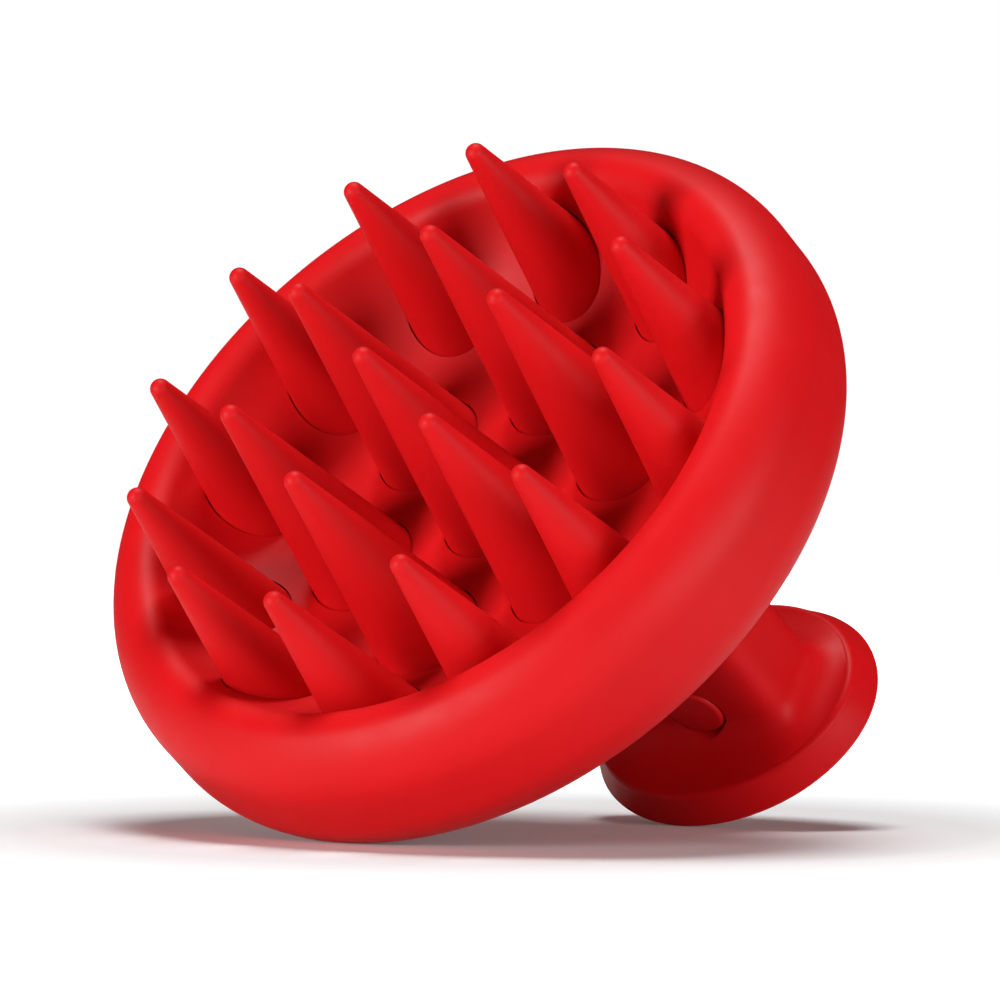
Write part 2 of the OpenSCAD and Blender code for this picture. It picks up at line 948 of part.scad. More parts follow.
// The strap that hangs the motor from the plate.
module motor_bracket() {
  outer = can_r + strap_t;
  rise = plate_z - motor_z;
  color("silver")
    difference() {
      translate([-motor_x, strap_y - strap_w / 2, motor_z]) {
        difference() {
          union() {
            rod_y(outer, 0, strap_w);
            translate([-outer, 0, 0]) cube([2 * outer, strap_w, rise]);
            translate([-outer - foot_l, 0, rise - foot_t])
              cube([2 * (outer + foot_l), strap_w, foot_t]);
          }
          rod_y(can_r, -1, strap_w + 1);
          translate([-can_r, -1, 0]) cube([2 * can_r, strap_w + 2, rise + 1]);
          translate([-2 * outer, -1, rise]) cube([4 * outer, strap_w + 2, outer]);
        }
      }
      bracket_screws_shape();
    }
}

module bracket_screws_shape() {
  bite = 1.5;
  for (side = [-1, 1])
    translate([-motor_x + side * foot_x, strap_y, plate_z - foot_t])
      cylinder(r = bracket_shank_r, h = foot_t + bite, $fn = small);
}

// Two round-headed screws through the feet of the strap.
module bracket_screws() {
  color("silver") {
    bracket_screws_shape();
    for (side = [-1, 1])
      translate([
        -motor_x + side * foot_x, strap_y,
        plate_z - foot_t - bracket_head_h
      ])
        cylinder(r = bracket_head_r, h = bracket_head_h, $fn = small);
  }
}

// The motor's two leads, from its end cap to the socket on the board.
module motor_leads() {
  lead_step = 1.4;
  lead_bend = 1.8;
  socket_y = board_y - 0.8;
  socket_z = board_z + board_h;
  for (side = [-1, 1]) {
    start_x = -motor_x + side * lead_step;
    end_x = grip_x + side * lead_step;
    out_y = can_back_y - lead_bend + side * lead_step / 2;
    level_z = motor_z - lead_step + side * lead_step / 2;
    color(side > 0 ? "red" : "black")
      lead([
        [start_x, can_back_y, motor_z],
        [start_x, out_y, motor_z],
        [start_x, out_y, level_z],
        [end_x, out_y, level_z],
        [end_x, socket_y, level_z],
        [end_x, socket_y, socket_z]
      ]);
  }
}

silicone_cup();
silicone_fingers();
finger_plate();
plate_screws();
back_shell();
handle_shell();
end_cover();
end_seal();
end_screws();
power_button();
button_seal();
switch_plunger();
switch_body();
control_board();
board_parts();
battery_cell();
battery_pad();
battery_leads();
charge_pins();
pin_holder();
charge_magnets();
charge_leads();
motor_can();
motor_magnets();
motor_bushes();
motor_end_cap();
motor_shaft();
motor_armature();
eccentric_weight();
motor_bracket();
bracket_screws();
motor_leads();
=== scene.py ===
"""Handheld scalp massager: fine moulded skins, grip, button and end details on its CAD model."""
import math

import bmesh
import bpy
from mathutils import Matrix, Vector


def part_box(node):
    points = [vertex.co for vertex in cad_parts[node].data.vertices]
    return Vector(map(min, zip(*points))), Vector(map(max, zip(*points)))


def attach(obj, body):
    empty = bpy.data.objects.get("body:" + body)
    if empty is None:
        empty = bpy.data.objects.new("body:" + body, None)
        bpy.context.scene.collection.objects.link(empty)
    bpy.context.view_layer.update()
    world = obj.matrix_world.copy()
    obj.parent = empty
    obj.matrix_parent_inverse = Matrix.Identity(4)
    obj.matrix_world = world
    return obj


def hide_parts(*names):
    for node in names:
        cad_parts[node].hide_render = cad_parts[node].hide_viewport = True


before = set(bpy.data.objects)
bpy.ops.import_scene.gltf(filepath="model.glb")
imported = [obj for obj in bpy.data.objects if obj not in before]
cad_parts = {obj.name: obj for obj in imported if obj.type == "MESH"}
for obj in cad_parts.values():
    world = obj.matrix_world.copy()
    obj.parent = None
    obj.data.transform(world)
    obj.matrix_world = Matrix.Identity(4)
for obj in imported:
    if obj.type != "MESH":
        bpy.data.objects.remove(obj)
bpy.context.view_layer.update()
MM = 0.001


# ---- Sizes in millimetres, the same as the CAD model's ----

CUP_R = 42.0
RIM_R = 7.5
LIP_R = 3.0
HEEL_R = 7.15
LIP_INSET = 5.2
GRIP_H = 32.2
CLAMP_LIP_T = 1.0
PLATE_T = 2.0
FLOOR_T = 2.5
CUP_DEPTH = 12.6
BOWL_R = 20.0
CLAMP_LIP_W = 5.2
PLATE_Z = GRIP_H + CLAMP_LIP_T
PLATE_TOP_Z = PLATE_Z + PLATE_T
FLOOR_Z = PLATE_TOP_Z + FLOOR_T
CREST_Z = FLOOR_Z + CUP_DEPTH
LIP_MID = (CUP_R - LIP_INSET, CREST_Z - LIP_R)
RIM_MID = (CUP_R - RIM_R,
           LIP_MID[1] - math.sqrt((RIM_R - LIP_R) ** 2 - (RIM_R - LIP_INSET) ** 2))
BOWL_Z = FLOOR_Z + BOWL_R
FLAT_R = LIP_MID[0] - math.sqrt((BOWL_R + LIP_R) ** 2 - (BOWL_Z - LIP_MID[1]) ** 2)

OUTER_COUNT = 12
INNER_COUNT = 6
OUTER_RING_R = 29.2
INNER_RING_R = 16.0
OUTER_TURN = -1.0
INNER_TURN = 23.0
OUTER_REACH = 11.8
INNER_RISE = 2.7
OUTER_TIP_Z = CREST_Z + OUTER_REACH
INNER_TIP_Z = OUTER_TIP_Z + INNER_RISE
TIP_R = 1.1
STUB_R = 2.8
FOOT_GAP = 0.15
FOOT_STEP = 3.3
OUTER_FOOT_R = OUTER_RING_R * math.sin(math.pi / OUTER_COUNT) - FOOT_STEP / 2
TIP_MID_H = OUTER_TIP_Z - TIP_R - PLATE_TOP_Z
TAPER = (math.acos(TIP_R / math.hypot(OUTER_FOOT_R, TIP_MID_H))
         - math.atan2(TIP_MID_H, OUTER_FOOT_R))
PLATE_EDGE = 0.2
PLATE_R = OUTER_RING_R + OUTER_FOOT_R + FOOT_GAP + PLATE_EDGE
LIP_INNER_R = PLATE_R - CLAMP_LIP_W

GRIP_X = 8.8
FLANGE_A = 17.4
FLANGE_B = 14.2
FLANGE_T = 3.8
FLANGE_DRAFT = 1.3
FLANGE_EDGE = 0.8
NECK_A = 11.3
NECK_B = 5.5
# Squareness of the neck's section: the solid's, and the tighter corners it has here.
NECK_POWER = 4.0
RIDGE_POWER = 5.5
BLEND_Z = 7.4
FLARE = 4.0
FLARE_H = 6.0
DOME_GAP = 0.35
DOME_EDGE_R = CUP_R - HEEL_R - DOME_GAP
DOME_DEPTH = 10.0
DOME_R = (DOME_EDGE_R ** 2 + DOME_DEPTH ** 2) / (2 * DOME_DEPTH)
DOME_MID_Z = GRIP_H + DOME_R - DOME_DEPTH
HOLLOW_L = 18.2
HOLLOW_W = 7.8
HOLLOW_R = 2.5
HOLLOW_Z = 2.2
COVER_L = 25.6
COVER_W = 15.0
COVER_GAP = 0.15
BUTTON_R = 3.3
BUTTON_X = GRIP_X + 1.6
BUTTON_Z = 9.0
BUTTON_GAP = 0.25
BUTTON_PROUD = 0.5

MOTOR_X = -9.0
MOTOR_Z = 29.7
MOTOR_END_Y = -8.8
BOARD_Y = -1.3
BOARD_T = 0.8
BOARD_Z = 5.8
BOARD_TOP_Z = 24.8
CELL_Y = 1.45
CELL_TOP_Z = 25.8
PIN_TOP_Z = 4.8
LEAD_R = 0.4
LEAD_BEND = 1.2


# ---- Camera ----

# Rows of the view: right, down and forward, in the model's axes.
VIEW_RIGHT = Vector((0.79152, 0.33247, -0.5128))
VIEW_DOWN = Vector((-0.05903, -0.79357, -0.60561))
VIEW_FORWARD = Vector((-0.60829, 0.50962, -0.6085))
VIEW_FROM = Vector((0.50806, -0.42400, 0.54568))


def make_camera():
    data = bpy.data.cameras.new("camera")
    data.sensor_width = 36
    data.lens = 288
    data.clip_start = 0.05
    data.clip_end = 20
    camera = bpy.data.objects.new("camera", data)
    turn = Matrix((VIEW_RIGHT, -VIEW_DOWN, -VIEW_FORWARD)).transposed()
    camera.matrix_world = Matrix.Translation(VIEW_FROM) @ turn.to_4x4()
    bpy.context.collection.objects.link(camera)
    bpy.context.scene.camera = camera


# ---- Materials ----

def new_material(name):
    material = bpy.data.materials.new(name)
    material.use_nodes = True
    tree = material.node_tree
    return material, tree, tree.nodes["Principled BSDF"]


def add(tree, kind, **inputs):
    node = tree.nodes.new(kind)
    for key, value in inputs.items():
        node.inputs[key.replace("_", " ")].default_value = value
    return node


def noise(tree, scale, detail):
    coords = tree.nodes.new("ShaderNodeTexCoord")
    node = add(tree, "ShaderNodeTexNoise", Scale=scale, Detail=detail, Roughness=0.5)
    tree.links.new(coords.outputs["Object"], node.inputs["Vector"])
    return node


def spread(tree, source, low, high):
    """Maps a noise's middle range onto low to high."""
    node = tree.nodes.new("ShaderNodeMapRange")
    node.inputs["From Min"].default_value = 0.3
    node.inputs["From Max"].default_value = 0.7
    node.inputs["To Min"].default_value = low
    node.inputs["To Max"].default_value = high
    tree.links.new(source.outputs["Fac"], node.inputs["Value"])
    return node


def moulded(name, colour, rough, grain=3500, bump=0.12, soft=0.0, vary=0.05,
            metallic=0.0, specular=0.5):
    """A moulded or machined surface: fine grain, slight unevenness in tone and gloss."""
    uneven = 0.035
    material, tree, shader = new_material(name)
    shader.inputs["Metallic"].default_value = metallic
    shader.inputs["Specular IOR Level"].default_value = specular
    if soft:
        shader.inputs["Subsurface Weight"].default_value = soft
        shader.inputs["Subsurface Radius"].default_value = (1.0, 0.12, 0.08)
        shader.inputs["Subsurface Scale"].default_value = 0.0015
    cloud = noise(tree, scale=90, detail=4.0)
    tone = tree.nodes.new("ShaderNodeMix")
    tone.data_type = "RGBA"
    tone.inputs[6].default_value = (*[c * (1 - vary) for c in colour], 1)
    tone.inputs[7].default_value = (*[min(1, c * (1 + vary)) for c in colour], 1)
    tree.links.new(cloud.outputs["Fac"], tone.inputs[0])
    tree.links.new(tone.outputs[2], shader.inputs["Base Color"])
    patches = noise(tree, scale=260, detail=4.0)
    gloss = spread(tree, patches, low=rough - uneven, high=rough + uneven)
    tree.links.new(gloss.outputs["Result"], shader.inputs["Roughness"])
    fine = noise(tree, scale=grain, detail=2.0)
    relief = add(tree, "ShaderNodeBump", Strength=bump, Distance=0.00004)
    tree.links.new(fine.outputs["Fac"], relief.inputs["Height"])
    tree.links.new(relief.outputs["Normal"], shader.inputs["Normal"])
    return material


def brushed(name, colour, rough, stretch=(1, 1, 30)):
    """A metal with fine lines along one axis."""
    material, tree, shader = new_material(name)
    shader.inputs["Metallic"].default_value = 1.0
    shader.inputs["Base Color"].default_value = (*colour, 1)
    coords = tree.nodes.new("ShaderNodeTexCoord")
    scale = tree.nodes.new("ShaderNodeMapping")
    scale.inputs["Scale"].default_value = stretch
    lines = add(tree, "ShaderNodeTexNoise", Scale=900, Detail=3)
    tree.links.new(coords.outputs["Object"], scale.inputs["Vector"])
    tree.links.new(scale.outputs["Vector"], lines.inputs["Vector"])
    gloss = spread(tree, lines, low=rough - 0.06, high=rough + 0.08)
    tree.links.new(gloss.outputs["Result"], shader.inputs["Roughness"])
    relief = add(tree, "ShaderNodeBump", Strength=0.15, Distance=0.00003)
    tree.links.new(lines.outputs["Fac"], relief.inputs["Height"])
    tree.links.new(relief.outputs["Normal"], shader.inputs["Normal"])
    return material


silicone = moulded("silicone", (0.61, 0.0042, 0.0065), 0.50, soft=0.04, specular=0.18)
finger_skin = moulded("finger_skin", (0.61, 0.0042, 0.0065), 0.54, soft=0.04, specular=0.18)
# The shell has the silicone's red set darker, as painted shade for the grip, which lies in the
# cup's shadow.
shell = moulded("shell", (0.57, 0.0042, 0.0065), 0.46, grain=3000, specular=0.12)
cover = moulded("cover", (0.52, 0.0045, 0.008), 0.44, grain=3000, specular=0.2)
button_skin = moulded("button_skin", (0.55, 0.0042, 0.0065), 0.46, soft=0.04, specular=0.2)
white_plastic = moulded("white_plastic", (0.80, 0.80, 0.78), 0.4)
black_plastic = moulded("black_plastic", (0.03, 0.03, 0.032), 0.42, vary=0.12)
seal = moulded("seal", (0.02, 0.02, 0.021), 0.6, vary=0.15)
lead_red = moulded("lead_red", (0.55, 0.02, 0.02), 0.45, vary=0.1)
foam = moulded("foam", (0.16, 0.16, 0.17), 0.85, grain=1800, bump=0.9, vary=0.2)
board_green = moulded("board_green", (0.015, 0.17, 0.07), 0.3, vary=0.12)
foil = moulded("foil", (0.72, 0.73, 0.75), 0.3, metallic=1.0, grain=700)
ferrite = moulded("ferrite", (0.12, 0.12, 0.13), 0.55, vary=0.15)
steel = brushed("steel", (0.62, 0.62, 0.64), 0.3)
tungsten = brushed("tungsten", (0.36, 0.36, 0.38), 0.38)
gold = brushed("gold", (0.83, 0.60, 0.22), 0.22)
bronze = brushed("bronze", (0.55, 0.36, 0.17), 0.42)
copper = brushed("copper", (0.72, 0.34, 0.17), 0.3, stretch=(1, 40, 1))

FINISH = {
    "silicone_cup": silicone, "silicone_fingers": finger_skin,
    "finger_plate": white_plastic, "plate_screws": steel, "back_shell": shell,
    "handle_shell": shell, "end_cover": cover, "end_seal": seal, "end_screws": steel,
    "power_button": button_skin, "button_seal": seal, "switch_plunger": black_plastic,
    "switch_body": steel, "control_board": board_green, "board_parts": black_plastic,
    "battery_cell": foil, "battery_pad": foam, "battery_leads": seal,
    "charge_pins": gold, "pin_holder": black_plastic, "charge_magnets": steel,
    "charge_leads": seal, "motor_can": steel, "motor_magnets": ferrite,
    "motor_bushes": bronze, "motor_end_cap": black_plastic, "motor_shaft": steel,
    "motor_armature": copper, "eccentric_weight": tungsten, "motor_bracket": steel,
    "bracket_screws": steel, "motor_leads": seal,
}


def dress_nodes():
    for name, material in FINISH.items():
        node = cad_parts[name]
        if not node.material_slots:
            node.data.materials.append(material)
        for slot in node.material_slots:
            slot.material = material


# ---- Mesh tools: all lengths here are in millimetres ----

def new_object(name, points, faces, material=None):
    mesh = bpy.data.meshes.new(name)
    mesh.from_pydata([Vector(p) * MM for p in points], [], faces)
    bm = bmesh.new()
    bm.from_mesh(mesh)
    bmesh.ops.recalc_face_normals(bm, faces=bm.faces)
    bm.to_mesh(mesh)
    bm.free()
    if material:
        mesh.materials.append(material)
    piece = bpy.data.objects.new(name, mesh)
    bpy.context.collection.objects.link(piece)
    return piece


def smooth(piece, angle=32):
    """Smooth shading, with a hard edge where faces meet at more than the angle."""
    mesh = piece.data
    mesh.polygons.foreach_set("use_smooth", [True] * len(mesh.polygons))
    mesh.set_sharp_from_angle(angle=math.radians(angle))


def arc(middle, radius, start, end, step=3.0):
    """Points [r, z] on an arc, from one angle to another, in degrees."""
    count = max(2, round(abs(end - start) / step))
    angles = [math.radians(start + (end - start) * i / count) for i in range(count + 1)]
    return [(middle[0] + radius * math.cos(a), middle[1] + radius * math.sin(a))
            for a in angles]


def lathe(name, profile, steps, material=None):
    """Turns a profile of [r, z] about Z; a point with r of 0 closes the form."""
    points, rows, faces = [], [], []
    for r, z in profile:
        if r < 1e-6:
            rows.append([len(points)] * steps)
            points.append((0, 0, z))
            continue
        rows.append(list(range(len(points), len(points) + steps)))
        points += [(r * math.cos(2 * math.pi * i / steps),
                    r * math.sin(2 * math.pi * i / steps), z) for i in range(steps)]
    closed = profile[0][0] > 1e-6
    pairs = list(zip(rows, rows[1:])) + ([(rows[-1], rows[0])] if closed else [])
    for low, high in pairs:
        for i in range(steps):
            j = (i + 1) % steps
            face = []
            for v in (low[i], low[j], high[j], high[i]):
                if v not in face:
                    face.append(v)
            if len(face) > 2:
                faces.append(face)
    return new_object(name, points, faces, material)


def turn_to_y(piece, x, y, z):
    """Lays a turned form along Y, its start at the given place."""
    way = Matrix.Translation(Vector((x, y, z)) * MM) @ Matrix.Rotation(math.radians(-90), 4, "X")
    piece.data.transform(way)


def prism(name, outline, z0, z1):
    n = len(outline)
    points = [(x, y, z0) for x, y in outline] + [(x, y, z1) for x, y in outline]
    faces = [list(range(n)), list(range(n, 2 * n))]
    faces += [[i, (i + 1) % n, n + (i + 1) % n, n + i] for i in range(n)]
    return new_object(name, points, faces)


def round_outline(length, width, radius, middle_x, step=6):
    """A rectangle with round corners, as a list of [x, y]."""
    outline = []
    for sx, sy, start in ((1, 1, 0), (-1, 1, 90), (-1, -1, 180), (1, -1, 270)):
        corner = (middle_x + sx * (length / 2 - radius), sy * (width / 2 - radius))
        outline += arc(corner, radius, start, start + 90, step)
    keep = []
    for p in outline:
        if not keep or math.dist(p, keep[-1]) > 1e-4:
            keep.append(p)
    if math.dist(keep[0], keep[-1]) < 1e-4:
        keep.pop()
    return keep


def cut(piece, cutters):
    """Takes the cutters' forms out of the piece, and removes the cutters."""
    for cutter in cutters:
        change = piece.modifiers.new("cut", "BOOLEAN")
        change.operation = "DIFFERENCE"
        change.solver = "EXACT"
        change.object = cutter
    bpy.context.view_layer.update()
    seen = piece.evaluated_get(bpy.context.evaluated_depsgraph_get())
    mesh = bpy.data.meshes.new_from_object(seen)
    piece.modifiers.clear()
    old = piece.data
    piece.data = mesh
    bpy.data.meshes.remove(old)
    for cutter in cutters:
        bpy.data.objects.remove(cutter)


def finish_piece(piece, body, nodes):
    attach(piece, body)
    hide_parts(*nodes)


# ---- Cup and fingers ----

def finger_places():
    """Each finger's place and the height of its tip."""
    places = [(0.0, 0.0, INNER_TIP_Z)]
    for count, radius, turn, tip in (
            (INNER_COUNT, INNER_RING_R, INNER_TURN, INNER_TIP_Z),
            (OUTER_COUNT, OUTER_RING_R, OUTER_TURN, OUTER_TIP_Z)):
        for i in range(count):
            a = math.radians(turn + 360 * i / count)
            places.append((radius * math.cos(a), radius * math.sin(a), tip))
    return places


def foot_r(tip):
    """Radius of a finger where it stands on the plate."""
    return (TIP_R * math.cos(TAPER)
            + (tip - TIP_R * (1 - math.sin(TAPER)) - PLATE_TOP_Z) * math.tan(TAPER))


def make_cup():
    """The rim, lip, bowl and floor in one fine turned skin, open round each finger's foot."""
    edge = 0.15
    below = 0.5
    floor_rings = (6, 11, FLAT_R - 0.8)
    wall = math.degrees(math.atan2(LIP_MID[1] - BOWL_Z, LIP_MID[0] - FLAT_R))
    over = math.degrees(math.atan2(LIP_MID[1] - RIM_MID[1], LIP_MID[0] - RIM_MID[0]))
    heel = (CUP_R - HEEL_R, GRIP_H + HEEL_R)
    profile = [(0, FLOOR_Z)] + [(r, FLOOR_Z) for r in floor_rings]
    profile += arc((FLAT_R, BOWL_Z), BOWL_R, -90, wall, 1.6)
    profile += arc(LIP_MID, LIP_R, wall + 180, over, 4)[1:]
    profile += arc(RIM_MID, RIM_R, over, 0, 3)[1:]
    profile += arc(heel, HEEL_R, 0, -90, 3)
    profile += [(LIP_INNER_R + edge, GRIP_H), (LIP_INNER_R, GRIP_H + edge),
                (LIP_INNER_R, PLATE_Z), (PLATE_R, PLATE_Z), (PLATE_R, PLATE_TOP_Z),
                (0, PLATE_TOP_Z)]
    cup = lathe("cup_skin", profile, 288, silicone)
    cutters = []
    for x, y, tip in finger_places():
        wide = foot_r(tip) + FOOT_GAP
        narrow = TIP_R + FOOT_GAP
        high = PLATE_TOP_Z + (wide - narrow) / math.tan(TAPER)
        hole = lathe("finger_hole", [(0, PLATE_TOP_Z - below), (wide, PLATE_TOP_Z - below),
                                     (wide, PLATE_TOP_Z), (narrow, high), (0, high)], 72)
        hole.data.transform(Matrix.Translation(Vector((x, y, 0)) * MM))
        cutters.append(hole)
    cut(cup, cutters)
    smooth(cup)
    finish_piece(cup, "massager", ["silicone_cup"])


def make_fingers():
    """Nineteen fingers, each a fine cone with a round tip and its stub in the plate."""
    edge = 0.15
    bands = 16
    for number, (x, y, tip) in enumerate(finger_places()):
        foot = foot_r(tip)
        profile = [(0, PLATE_Z), (STUB_R - edge, PLATE_Z), (STUB_R, PLATE_Z + edge),
                   (STUB_R, PLATE_TOP_Z), (foot, PLATE_TOP_Z)]
        start = (TIP_R * math.cos(TAPER), tip - TIP_R * (1 - math.sin(TAPER)))
        for i in range(1, bands):
            share = i / bands
            profile.append((foot + (start[0] - foot) * share,
                            PLATE_TOP_Z + (start[1] - PLATE_TOP_Z) * share))
        profile += arc((0, tip - TIP_R), TIP_R, math.degrees(TAPER), 90, 6)
        profile[-1] = (0, tip)
        finger = lathe(f"finger_{number:02d}", profile, 96, finger_skin)
        finger.data.transform(Matrix.Translation(Vector((x, y, 0)) * MM))
        smooth(finger)
        finish_piece(finger, "massager", ["silicone_fingers"])


# ---- Grip ----

def grip_levels():
    """Levels [z, half length, half width, squareness] up the grip, closely spaced."""
    def level(z, inset, share):
        a = FLANGE_A - inset
        b = FLANGE_B - inset
        return (z, a + (NECK_A - a) * share, b + (NECK_B - b) * share,
                2 + (RIDGE_POWER - 2) * share)
    edge = FLANGE_EDGE
    levels = []
    for t in range(0, 91, 10):
        c, s = math.cos(math.radians(t)), math.sin(math.radians(t))
        levels.append(level(edge * (1 - c), edge * (1 - s), 0))
    for t in range(0, 91, 10):
        c, s = math.cos(math.radians(t)), math.sin(math.radians(t))
        levels.append(level(FLANGE_T - edge * (1 - s), FLANGE_DRAFT + edge * (1 - c), 0))
    for i in range(1, 37):
        c, s = math.cos(math.radians(i * 2.5)), math.sin(math.radians(i * 2.5))
        levels.append(level(FLANGE_T + (BLEND_Z - FLANGE_T) * (1 - c),
                            FLANGE_DRAFT + edge, s))
    # The neck starts to spread at low, and its edge ends a little inside the dome, at high.
    sunk = 0.2
    split = DOME_MID_Z - math.sqrt(DOME_R ** 2 - GRIP_X ** 2)
    low = split - FLARE_H
    reach = GRIP_X + NECK_A + FLARE
    high = DOME_MID_Z - math.sqrt(DOME_R ** 2 - reach ** 2) + sunk
    for i in range(1, 8):
        levels.append((BLEND_Z + (low - BLEND_Z) * i / 8, NECK_A, NECK_B, RIDGE_POWER))
    for t in range(0, 91, 5):
        c, s = math.cos(math.radians(t)), math.sin(math.radians(t))
        levels.append((low + (high - low) * s, NECK_A + FLARE * (1 - c),
                       NECK_B + FLARE * (1 - c),
                       RIDGE_POWER + (NECK_POWER - RIDGE_POWER) * (1 - c)))
    return levels


def section_point(angle, a, b, power):
    c, s = math.cos(angle), math.sin(angle)
    return (GRIP_X + a * math.copysign(abs(c) ** (2 / power), c),
            b * math.copysign(abs(s) ** (2 / power), s))


def make_handle():
    """The flange and neck as one smooth lofted shell, hollow, with the button's hole."""
    n = 320
    corner_pull = 0.12
    below = -1
    levels = grip_levels()
    points, faces = [], []
    for z, a, b, power in levels:
        for i in range(n):
            # The points are spaced so that the square corners get enough of them.
            angle = 2 * math.pi * i / n
            angle += corner_pull * math.sin(4 * angle) * (power - 2) / 2
            x, y = section_point(angle, a, b, power)
            points.append((x, y, z))
    last = len(levels) - 1
    for k in range(last):
        for i in range(n):
            j = (i + 1) % n
            faces.append([k * n + i, k * n + j, (k + 1) * n + j, (k + 1) * n + i])
    faces.append(list(range(n)))
    faces.append([last * n + i for i in range(n)])
    handle = new_object("handle_skin", points, faces, shell)
    ball = lathe("ball", [(0, DOME_MID_Z - DOME_R)]
                 + arc((0, DOME_MID_Z), DOME_R, -89, -40, 0.7) + [(0, DOME_MID_Z)], 256)
    hollow = prism("hollow", round_outline(HOLLOW_L, HOLLOW_W, HOLLOW_R, GRIP_X), below, GRIP_H)
    recess = prism("recess", round_outline(COVER_L + 2 * COVER_GAP, COVER_W + 2 * COVER_GAP,
                                           COVER_W / 2 + COVER_GAP, GRIP_X), below, HOLLOW_Z)
    hole_r, hole_l, hole_y = BUTTON_R + BUTTON_GAP, 22, -25
    hole = lathe("hole", [(0, 0), (hole_r, 0), (hole_r, hole_l), (0, hole_l)], 128)
    turn_to_y(hole, BUTTON_X, hole_y, BUTTON_Z)
    cut(handle, [ball, hollow, recess, hole])
    smooth(handle, 38)
    finish_piece(handle, "massager", ["handle_shell"])


def make_button():
    """The push button, a slightly crowned cap with a groove and a collar, and its seal ring."""
    ring, ring_play, groove_in = 0.35, 0.05, 0.75
    crown, edge, bevel = 0.15, 0.5, 0.1
    collar_w, collar_t, collar_slack = 0.7, 0.7, 0.1
    face = -NECK_B - BUTTON_PROUD
    wall = -HOLLOW_W / 2
    groove = wall - groove_in
    path = BUTTON_R + BUTTON_GAP - ring_play - ring
    deep = path - ring
    collar = wall + collar_slack
    big = BUTTON_R - edge
    sphere = (big ** 2 + crown ** 2) / (2 * crown)
    profile = [(0, face)]
    for i in range(1, 11):
        r = big * i / 10
        profile.append((r, face + sphere - math.sqrt(sphere ** 2 - r ** 2)))
    profile += [(big + edge * math.sin(math.radians(t)),
                 face + crown + edge * (1 - math.cos(math.radians(t))))
                for t in range(10, 91, 10)]
    profile += [(BUTTON_R, groove - ring), (deep, groove - ring), (deep, groove + ring),
                (BUTTON_R, groove + ring), (BUTTON_R, collar),
                (BUTTON_R + collar_w - bevel, collar), (BUTTON_R + collar_w, collar + bevel),
                (BUTTON_R + collar_w, collar + collar_t), (0, collar + collar_t)]
    cap = lathe("button_skin", profile, 128, button_skin)
    turn_to_y(cap, BUTTON_X, 0, BUTTON_Z)
    smooth(cap)
    finish_piece(cap, "button", ["power_button"])
    band_ring = lathe("button_ring", arc((path, groove), ring, 0, 360, 15)[:-1], 96, seal)
    turn_to_y(band_ring, BUTTON_X, 0, BUTTON_Z)
    smooth(band_ring, 60)
    finish_piece(band_ring, "button", ["button_seal"])


# ---- Soft pieces inside ----

def make_end_seal():
    """A flat ring with round edges, along the cover's outline."""
    width, low, high, edge = 1.2, 1.7, 2.2, 0.12
    rows = []
    section = [(0, low + edge), (edge, low), (width - edge, low), (width, low + edge),
               (width, high - edge), (width - edge, high), (edge, high), (0, high - edge)]
    for inset, z in section:
        outline = []
        for sx in (1, -1):
            middle = (GRIP_X + sx * (COVER_L - COVER_W) / 2, 0)
            start = -90 if sx > 0 else 90
            outline += arc(middle, COVER_W / 2 - inset, start, start + 180, 4)
        rows.append([(x, y, z) for x, y in outline])
    points = [p for row in rows for p in row]
    count, n = len(rows), len(rows[0])
    faces = [[k * n + i, k * n + (i + 1) % n, (k + 1) % count * n + (i + 1) % n,
              (k + 1) % count * n + i] for k in range(count) for i in range(n)]
    gasket = new_object("end_gasket", points, faces, seal)
    smooth(gasket, 50)
    finish_piece(gasket, "massager", ["end_seal"])


def make_pad():
    """The foam block between the cell and the neck's wall, with soft edges."""
    low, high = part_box("battery_pad")
    corner_pull = 0.06
    centre = (Vector(low) + Vector(high)) / 2
    half = (Vector(high) - Vector(low)) / 2
    bm = bmesh.new()
    bmesh.ops.create_cube(bm, size=2.0)
    bmesh.ops.subdivide_edges(bm, edges=bm.edges, cuts=6, use_grid_fill=True)
    for v in bm.verts:
        v.co = Vector([c * (1 - corner_pull * (a * a + b * b) ** 2 / 4) for c, a, b in (
            (v.co.x, v.co.y, v.co.z), (v.co.y, v.co.x, v.co.z), (v.co.z, v.co.x, v.co.y))])
        v.co = centre + Vector((v.co.x * half.x, v.co.y * half.y, v.co.z * half.z))
    mesh = bpy.data.meshes.new("foam_pad")
    bm.to_mesh(mesh)
    bm.free()
    mesh.materials.append(foam)
    pad = bpy.data.objects.new("foam_pad", mesh)
    bpy.context.collection.objects.link(pad)
    smooth(pad, 60)
    finish_piece(pad, "massager", ["battery_pad"])


def rounded_path(points, bend):
    """A path with its corners rounded, as closely spaced points."""
    steps = 8
    corners = [Vector(p) for p in points]
    path = [corners[0]]
    for before, here, after in zip(corners, corners[1:], corners[2:]):
        back, on = (before - here), (after - here)
        r = min(bend, back.length / 2, on.length / 2)
        start = here + back.normalized() * r
        end = here + on.normalized() * r
        for i in range(steps + 1):
            t = i / steps
            path.append(start * (1 - t) ** 2 + here * 2 * t * (1 - t) + end * t ** 2)
    path.append(corners[-1])
    keep = [path[0]]
    for p in path[1:]:
        if (p - keep[-1]).length > 1e-4:
            keep.append(p)
    return keep


